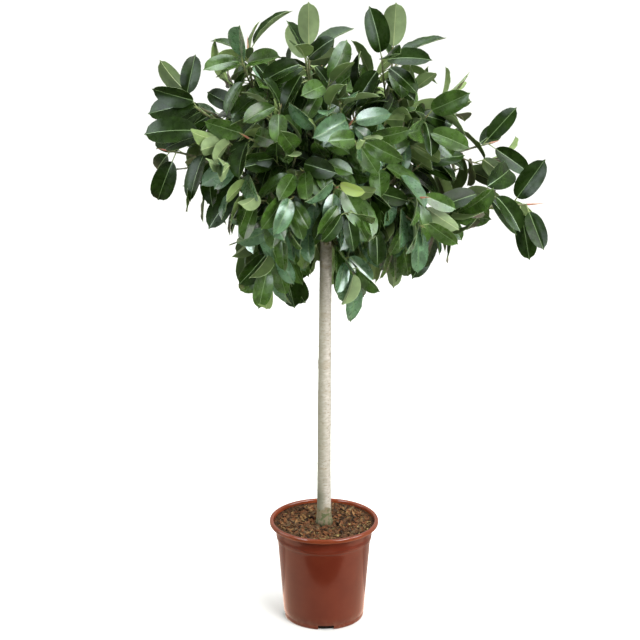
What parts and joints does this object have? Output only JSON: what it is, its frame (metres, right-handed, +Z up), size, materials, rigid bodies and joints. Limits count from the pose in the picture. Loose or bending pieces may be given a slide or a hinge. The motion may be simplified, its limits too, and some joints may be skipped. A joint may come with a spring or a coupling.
{
  "type": "standard rubber fig in a nursery pot",
  "caption": "Potted rubber fig on one clean stem, with a loose rounded head of large leathery leaves, in a round tapered plastic nursery pot topped with bark mulch.",
  "frame": {"origin": "centre of the pot's flat underside", "axes": "+Z up along the stem, -Y towards the front, where one drain slot faces; +X towards the longest side shoot"},
  "size_m": [1.0501, 0.838, 1.722],
  "materials": {
    "pot_plastic": "satin moulded polypropylene, reddish brown",
    "bark_mulch": "loose composted bark chips over moist compost",
    "bark": "pale grey-beige smooth bark with faint rings",
    "young_bark": "green-brown young bark with leaf scars",
    "foliage": "leathery, dark glossy green above and pale matt green below"
  },
  "bodies": {
    "root": {"bough_arm_1": "young_bark", "bough_arm_2": "young_bark", "bough_arm_3": "young_bark", "bough_arm_4": "young_bark", "bough_arm_5": "young_bark", "bough_leader_1": "young_bark", "bough_leader_2": "young_bark", "bough_leader_3": "young_bark", "bough_leader_4": "young_bark", "bough_reach_1": "young_bark", "bough_reach_2": "young_bark", "bough_reach_3": "young_bark", "bough_reach_4": "young_bark", "bough_shoulder_1": "young_bark", "bough_shoulder_2": "young_bark", "bough_shoulder_3": "young_bark", "bough_shoulder_4": "young_bark", "bough_shoulder_5": "young_bark", "bough_skirt_1": "young_bark", "bough_skirt_2": "young_bark", "bough_skirt_3": "young_bark", "bough_skirt_4": "young_bark", "bough_skirt_5": "young_bark", "foliage_arm_1": "foliage", "foliage_arm_2": "foliage", "foliage_arm_3": "foliage", "foliage_arm_4": "foliage", "foliage_arm_5": "foliage", "foliage_leader_1": "foliage", "foliage_leader_2": "foliage", "foliage_leader_3": "foliage", "foliage_leader_4": "foliage", "foliage_reach_1": "foliage", "foliage_reach_2": "foliage", "foliage_reach_3": "foliage", "foliage_reach_4": "foliage", "foliage_shoulder_1": "foliage", "foliage_shoulder_2": "foliage", "foliage_shoulder_3": "foliage", "foliage_shoulder_4": "foliage", "foliage_shoulder_5": "foliage", "foliage_skirt_1": "foliage", "foliage_skirt_2": "foliage", "foliage_skirt_3": "foliage", "foliage_skirt_4": "foliage", "foliage_skirt_5": "foliage", "pot": "pot_plastic", "soil": "bark_mulch", "trunk": "bark"}
  },
  "joints": []
}
